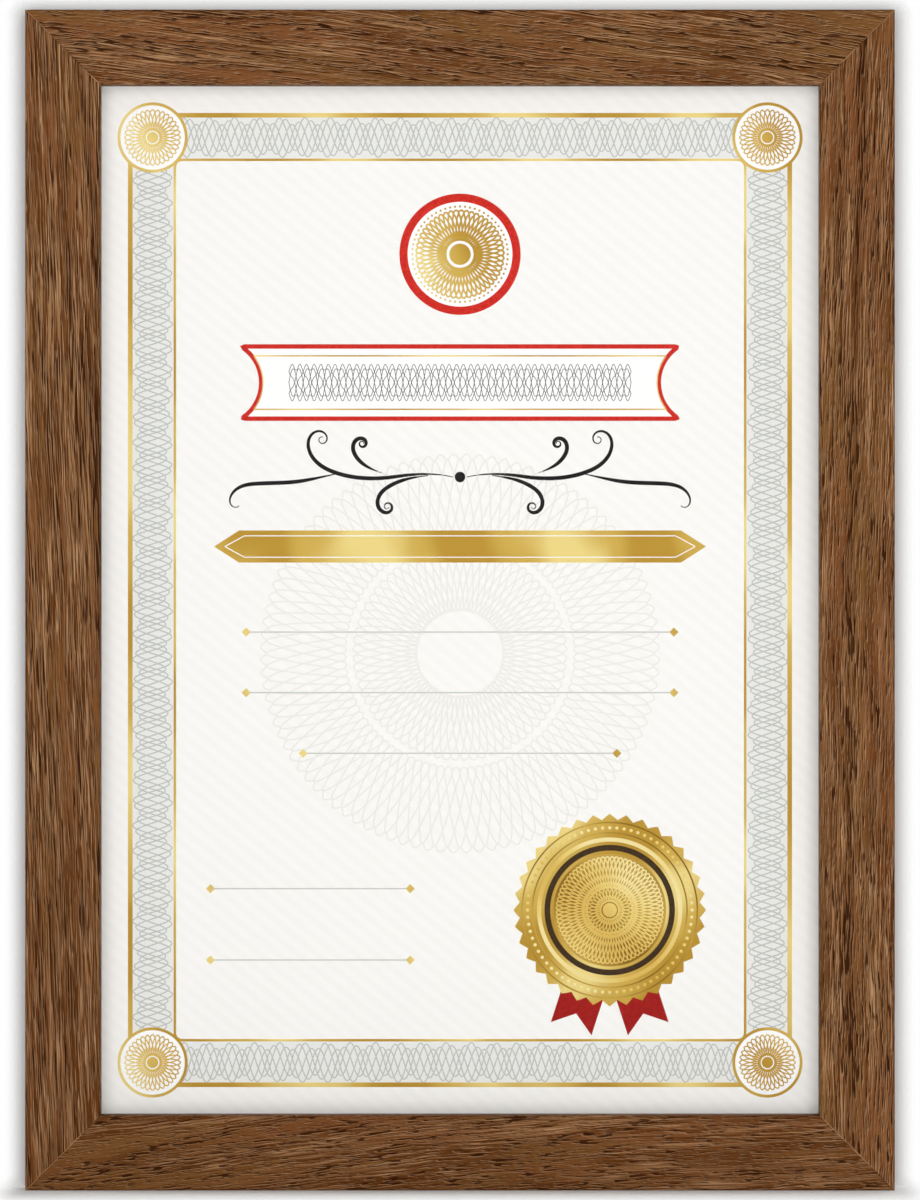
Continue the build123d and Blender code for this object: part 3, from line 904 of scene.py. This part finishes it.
print("seal")
seal = {
    "at": (42.0, 78.0), "tail": [(-6.0, 0), (6.0, 0), (6.0, -35), (0, -30.5), (-6.0, -35)],
    "tailTurn": 18, "tailLift": 0.05, "teeth": dict(teeth=36.0, toothDepth=1.7),
    "wafer": [(0, 0.16), (15.6, 0.16), (16.2, 0.22), (16.6, 0.16), (18.4, 0.16), (18.9, 0.22),
              (20.0, 0.24), (21.6, 0.24), (22.4, 0.18), (24.0, 0.18), (25.3, 0.16), (27.0, 0.1),
              (27.0, 0), (0, 0)],
    "field": (16.5, 0.14, 0.18), "steps": 144,
    # the seal's raised ring, beads, rosettes and boss are in a paler gold, a painted highlight on the relief,
    # and two deeper gold lines in it are painted shade; the field's darker gold is its own print colour
    # inner and outer radius, underside and top, and foil of each ring
    "rings": {"dark_ring": (16.7, 18.3, 0.12, 0.19, darkFoil),
              "ring_painted_highlight": (19.2, 20.4, 0.2, 0.28, paintedHighlightGold),
              "ring_painted_shade": (21.5, 21.9, 0.2, 0.28, fieldAndShadeGold),
              "rim_painted_shade": (24.4, 24.8, 0.2, 0.28, fieldAndShadeGold)},
    "beads": dict(count=72, radius=23.1, bead=0.55, height=0.16), "beadLift": 0.12,
    "outer": dict(radius=10.6, width=0.5, height=0.08, points=1100, strands=6, waves=12.0, swing=4.4),
    "inner": dict(radius=4.6, width=0.45, height=0.09, points=500, strands=4, waves=8.0, swing=2.2),
    "rosetteLift": 0.16, "boss": (2.0, 1.4, 0.12), "bossLift": 0.17,
}


def onSeal(lift=0.0, turn=0.0):
    return onCard(*seal["at"], lift, turn)


plate("ribbon_tail_left", seal["tail"], onSeal(turn=-seal["tailTurn"]), ribbonRed)
plate("ribbon_tail_right", seal["tail"], onSeal(seal["tailLift"], seal["tailTurn"]), ribbonRed)
turnedDisc("seal_wafer", seal["wafer"], onSeal(), sealGold, 2 * seal["steps"], **seal["teeth"])
turnedDisc("seal_field", discOf(*seal["field"]), onSeal(), fieldAndShadeGold, seal["steps"])
# the pale ring is a painted highlight and the two deeper gold lines are painted shade of the wafer's relief
for ringName, (*ring, ringFoil) in seal["rings"].items():
    turnedDisc("seal_" + ringName, ringOf(*ring), onSeal(), ringFoil, seal["steps"])
beadRing("seal_beads", onSeal(seal["beadLift"]), paintedHighlightGold, **seal["beads"])
for line in ("outer", "inner"):
    wovenRound("seal_rosette_" + line, onSeal(seal["rosetteLift"]), paintedHighlightGold, **seal[line])
turnedDisc("seal_boss", studOf(*seal["boss"]), onSeal(seal["bossLift"]), paintedHighlightGold, steps=32)

# the back and its fittings

print("back and fittings")
fibreboard = {
    "base": tint(128, 92, 60), "dark": tint(110, 77, 49), "pale": tint(154, 117, 80),
    "sawn": tint(78, 51, 30),
    # how the two lays of fibre are stretched and turned, and the noise of each pattern
    "lying": ((1400.0, 900.0, 420.0), (0.0, 0.4, 0.0)), "crossing": ((420.0, 900.0, 1400.0), (0.0, 0.3, 0.0)),
    "fibre": (1.0, 3.0, 0.65), "mottle": (0.35, 2.0, 0.6), "fleck": (3.2, 1.0, 0.5),
    # where each stain starts, where it is full, and its share
    "baseShare": (0.3, 0.7, 1.0, 0.3), "lyingShare": (0.55, 0.72, 0.6), "crossingShare": (0.45, 0.3, 0.7),
    "highlightShare": (0.62, 0.7, 0.5), "sawnShare": (0.8, 0.4, 0.8),
    "roughness": (0.3, 0.7, 0.62, 0.8), "relief": (0.05, 0.7),
}


def makeFibreboard():
    material = newMaterial("brownFibreboard")
    place = placeIn()
    lying, crossing = (cloud(placeIn(*fibreboard[lay]), *fibreboard["fibre"])
                       for lay in ("lying", "crossing"))
    mottle, fleck = (cloud(place, *fibreboard[name]) for name in ("mottle", "fleck"))
    board = layOver(fibreboard["dark"], fibreboard["base"], mottle, *fibreboard["baseShare"])
    board = layOver(board, fibreboard["pale"], lying, *fibreboard["lyingShare"])
    board = layOver(board, fibreboard["dark"], crossing, *fibreboard["crossingShare"])
    board = layOver(board, fibreboard["pale"], fleck, *fibreboard["highlightShare"])
    # the sawn edges are darker than the faces
    facing = sizeOf(splitXYZ(shaderNode("TexCoord")["Normal"])[1])
    board = layOver(board, fibreboard["sawn"], facing, *fibreboard["sawnShare"])
    roughness = spread(lying, *fibreboard["roughness"])
    return coat(material, board, roughness, lying, *fibreboard["relief"])


# the brushed grain runs along a strip and is even on fasteners
brushing = {"noise": (1.0, 2.0, 0.6), "tarnish": (0.25, 2.0, 0.6), "share": 0.75, "range": (0.3, 0.7),
            "relief": (0.01, 0.4)}
metals = {
    "nickelledStrip": {"low": tint(176, 172, 164), "high": tint(196, 192, 184), "rough": (0.24, 0.36),
                       "grain": (9000.0, 9000.0, 300.0)},
    "brightFastener": {"low": tint(186, 186, 184), "high": tint(210, 210, 208), "rough": (0.18, 0.3),
                       "grain": (2500.0, 2500.0, 2500.0)},
    "blueSpringSteel": {"low": tint(66, 74, 88), "high": tint(92, 98, 112), "rough": (0.25, 0.4),
                        "grain": (4000.0, 4000.0, 800.0)},
}


def makeMetal(name):
    metal = metals[name]
    material = newMaterial(name, {"Metallic": 1.0})
    brushed = cloud(placeIn(metal["grain"]), *brushing["noise"])
    tarnish = times(cloud(placeIn(), *brushing["tarnish"]), 1 - brushing["share"])
    blend = timesPlus(brushed, brushing["share"], tarnish)
    colour = layOver(metal["low"], metal["high"], blend, *brushing["range"])
    roughness = spread(blend, *brushing["range"], *metal["rough"])
    return coat(material, colour, roughness, brushed, *brushing["relief"])


dress(makeFibreboard(), "back_board", "easel_strut")
buttons = [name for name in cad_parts
           if name.startswith("turn_button_") and name != "turn_button_screws"]
dress(makeMetal("nickelledStrip"), "hinge_board_leaf", "hinge_strut_leaf", "portrait_hanger",
      "landscape_hanger", *buttons)
dress(makeMetal("brightFastener"), "turn_button_screws", "hinge_pin", "board_leaf_rivets",
      "strut_leaf_rivets", "hanger_nails")
dress(makeMetal("blueSpringSteel"), "corner_v_nails")

# stage, light and camera come from here on

# what the metal and the glass mirror: a pale room, two bright strips behind, dark where the camera stands
room = {
    "openLight": 0.09, "height": (-0.4, 0.6, 0.42, 0.95), "stripAt": 0.6, "stripEdge": (0.16, 0.08),
    "stripGlow": 0.7, "cameraSide": (-0.975, -0.86, 0.03, 1.0),
}


def makeWorld():
    world = bpy.data.worlds.new("studioWhite")
    scene.world = world
    world.use_nodes = True
    workOn(world.node_tree)
    back = tree.nodes["Background"]
    light = shaderNode("LightPath")
    x, y, z = splitXYZ(shaderNode("TexCoord")["Generated"])
    fromStrip = sizeOf(minus(sizeOf(x), room["stripAt"]))
    strips = times(spread(fromStrip, *room["stripEdge"]), above(y, 0.0))
    shine = timesPlus(strips, room["stripGlow"], spread(z, *room["height"]))
    shine = times(shine, spread(y, *room["cameraSide"]))
    mirrored = times(larger(light["Is Glossy Ray"], light["Is Transmission Ray"]), shine)
    openLight = times(light["Is Diffuse Ray"], room["openLight"])
    shade = larger(larger(mirrored, light["Is Camera Ray"]), openLight)
    feed(back.inputs["Strength"], shade)
    back.inputs["Color"].default_value = (1.0, 1.0, 1.0, 1.0)


def hideFrom(piece, *rays):
    for ray in rays:
        setattr(piece, "visible_" + ray, False)


# place and radius of each round lamp, and how bright it makes a white card that faces it
lamps = {
    "frontSoftbox": ((0.0, -1.6, 0.165), 0.8, 0.745),
    "keyLamp": ((0.7, -1.2, 1.2), 0.3, 0.095),
    "leftLamp": ((-1.4, 0.22, 0.6), 0.5, 0.4),
    "rightLamp": ((1.4, 0.22, 0.6), 0.5, 0.4),
    "backSoftbox": ((0.35, 1.5, 0.75), 0.8, 0.6),
}


def addLamp(name, where, radius, level):
    lamp = bpy.data.lights.new(name, "AREA")
    lamp.shape = "DISK"
    lamp.size = 2 * radius
    toFrame = Vector(centre) - Vector(where)
    lamp.energy = level * math.pi * math.pi * (toFrame.length ** 2 + radius ** 2)
    lamp.color = (1.0, 0.998, 0.995)
    lampObject = addObject(name, lamp)
    lampObject.location = where
    lampObject.rotation_euler = toFrame.to_track_quat("-Z", "Y").to_euler()
    hideFrom(lampObject, "camera", "glossy", "transmission")


# the floor and the wall behind are matt near the frame, where its soft shadow falls, and white beyond,
# so their grey round the frame is a painted shadow that also takes the frame's real one: core is half the
# size of the matt part, fade its edge in millimetres, endPull how much sooner it ends at the frame's two
# ends, and frontPull the same for the part before the frame
wallAt = 7.3 * mm
sheets = {
    "floor": {"corners": [(-2, -2, 0), (2, -2, 0), (2, 2, 0), (-2, 2, 0)], "core": (half, 0.012, 0.165),
              "fade": (4.0, 90.0), "endPull": 9.0, "frontPull": 1.5, "grey": 0.88, "edge": None},
    "wall": {"corners": [(-0.2, wallAt, 0), (0.2, wallAt, 0), (0.2, wallAt, 0.4), (-0.2, wallAt, 0.4)],
             "core": (half, 1.0, 0.164), "fade": (0.0, 7.0), "endPull": 1.0, "frontPull": 1.0,
             "grey": 0.67, "edge": 1.5},
}


def stageSheet(name):
    sheet = sheets[name]
    material = newMaterial(name)
    tree.nodes.remove(tree.nodes["Principled BSDF"])
    x, y, z = splitXYZ(shaderNode("TexCoord")["Object"])
    ahead = timesPlus(below(y, 0.0), sheet["frontPull"] - 1.0, 1.0)
    offset = joinXYZ(x, times(y, ahead), minus(z, centre[2]))
    far = vectorCalc("SUBTRACT", vectorCalc("ABSOLUTE", offset), sheet["core"])
    outside = vectorCalc("MULTIPLY", vectorCalc("MAXIMUM", far), (sheet["endPull"], 1.0, 1.0))
    gap = shaderNode("VectorMath", {0: outside}, operation="LENGTH")["Value"]
    away = spread(gap, sheet["fade"][0] * mm, sheet["fade"][1] * mm)
    matt = shaderNode("BsdfDiffuse", {"Color": (sheet["grey"],) * 3 + (1.0,)})[0]
    clear = shaderNode("BsdfTransparent")[0]
    # the wall's grey band round the frame is a painted shadow that also takes the frame's real shadow
    if sheet["edge"]:  # a clear sheet, matt only in a band round the frame and a little behind it
        x, y, z = splitXYZ(far)
        behind = below(larger(x, z), -sheet["edge"] * mm)
        beyond, share = clear, larger(away, behind)
    else:
        # the floor's grey near the frame is a painted shadow pool that also takes the real shadow; beyond it
        # is plain white
        light = shaderNode("LightPath")
        mirrored = larger(light["Is Glossy Ray"], light["Is Transmission Ray"])
        beyond = shaderNode("Emission", {"Strength": 1.0})[0]
        share = times(away, larger(light["Is Camera Ray"], mirrored))
    surface = mixSurface(share, matt, beyond)
    back = shaderNode("NewGeometry")["Backfacing"]
    showSurface(mixSurface(back, surface, clear))
    mesh = bpy.data.meshes.new(name)
    mesh.from_pydata(sheet["corners"], [], [(0, 1, 2, 3)])
    mesh.materials.append(material)
    stage = addObject(name, mesh)
    return stage


print("stage and lights")
makeWorld()
for lampName, lampValues in lamps.items():
    addLamp(lampName, *lampValues)
hideFrom(stageSheet("floor"), "shadow", "glossy", "transmission")
hideFrom(stageSheet("wall"), "shadow", "diffuse", "glossy", "transmission")

# the camera stands level with the frame's middle: its distance and the height it sees, in millimetres
view = {"away": 2400.0, "high": 335.3, "sensor": 36.0}
camera = bpy.data.cameras.new("camera")
camera.sensor_width = view["sensor"]
camera.lens = view["sensor"] * view["away"] / view["high"]
camera.clip_start = 0.01
cameraObject = addObject("camera", camera)
cameraObject.location = (0.0, front - view["away"] * mm, centre[2])
cameraObject.rotation_euler = (quarterTurn, 0.0, 0.0)
bpy.context.scene.camera = cameraObject

scene.view_settings.view_transform = "Standard"

print("certificate frame: done")
